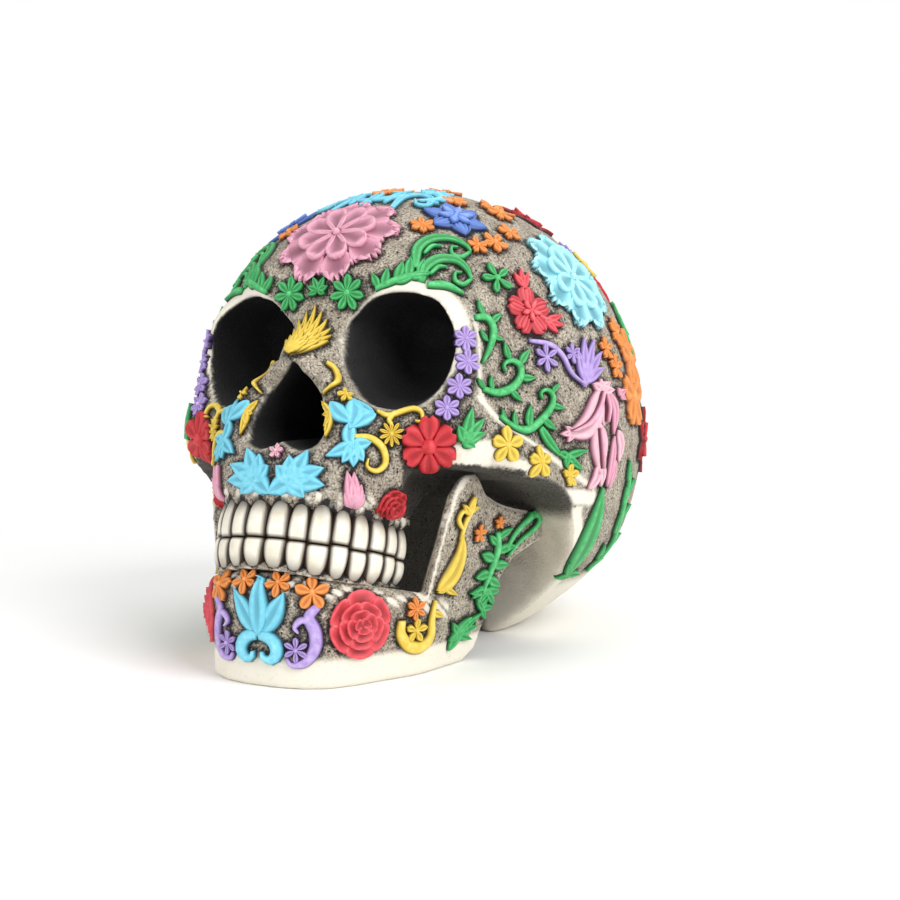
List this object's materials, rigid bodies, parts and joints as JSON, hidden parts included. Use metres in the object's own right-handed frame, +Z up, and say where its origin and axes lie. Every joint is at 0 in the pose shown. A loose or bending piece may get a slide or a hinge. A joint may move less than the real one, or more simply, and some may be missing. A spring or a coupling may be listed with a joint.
{
  "type": "decorated skull ornament",
  "caption": "Painted cast skull with hollow eye sockets, nose opening, fixed lower jaw, rows of teeth and raised flowers, scrolls and leaves; a table decoration standing on its flat base.",
  "frame": {"origin": "middle of the object's box, on the surface that it stands on", "axes": "+Z up, the face looks along -Y, the skull's own left is +X"},
  "size_m": [0.1452, 0.195, 0.1501],
  "materials": {
    "cast_resin": "matt stippled cast resin with a brown antique wash",
    "tooth_ivory": "satin ivory paint with brown lines",
    "paint_pink": "satin acrylic paint",
    "paint_cyan": "satin acrylic paint",
    "paint_green": "satin acrylic paint",
    "paint_red": "satin acrylic paint",
    "paint_purple": "satin acrylic paint",
    "paint_orange": "satin acrylic paint",
    "paint_yellow": "satin acrylic paint",
    "paint_blue": "satin acrylic paint"
  },
  "bodies": {
    "root": {"cranium": "cast_resin", "lower_jaw": "cast_resin", "upper_tooth_row": "tooth_ivory", "lower_tooth_row": "tooth_ivory", "forehead_dahlia": "paint_pink", "crown_scroll": "paint_cyan", "glabella_lotus": "paint_yellow", "chin_tulip": "paint_cyan", "crown_blossom_left": "paint_blue", "crown_blossom_right": "paint_blue", "brow_spray_left": "paint_green", "brow_spray_right": "paint_green", "brow_daisy_left": "paint_green", "brow_daisy_right": "paint_green", "temple_daisy_left": "paint_green", "temple_daisy_right": "paint_green", "temple_hibiscus_left": "paint_red", "temple_hibiscus_right": "paint_red", "temple_dahlia_left": "paint_cyan", "temple_dahlia_right": "paint_cyan", "temple_lotus_left": "paint_purple", "temple_lotus_right": "paint_purple", "temple_scroll_left": "paint_green", "temple_scroll_right": "paint_green", "arch_scroll_left": "paint_green", "arch_scroll_right": "paint_green", "orbit_blossoms_left": "paint_purple", "orbit_blossoms_right": "paint_purple", "nose_bird_left": "paint_cyan", "nose_bird_right": "paint_cyan", "cheek_scroll_left": "paint_yellow", "cheek_scroll_right": "paint_yellow", "cheek_flower_left": "paint_red", "cheek_flower_right": "paint_red", "arch_blossom_left": "paint_yellow", "arch_blossom_right": "paint_yellow", "lip_leaf_left": "paint_cyan", "lip_leaf_right": "paint_cyan", "side_lily_left": "paint_pink", "side_lily_right": "paint_pink", "side_leaf_left": "paint_green", "side_leaf_right": "paint_green", "chin_star_left": "paint_orange", "chin_star_right": "paint_orange", "chin_scroll_left": "paint_purple", "chin_scroll_right": "paint_purple", "jaw_rose_left": "paint_red", "jaw_rose_right": "paint_red", "jaw_crescent_left": "paint_yellow", "jaw_crescent_right": "paint_yellow", "branch_scroll_left": "paint_yellow", "branch_scroll_right": "paint_yellow", "branch_leaf_left": "paint_green", "branch_leaf_right": "paint_green"}
  },
  "joints": []
}
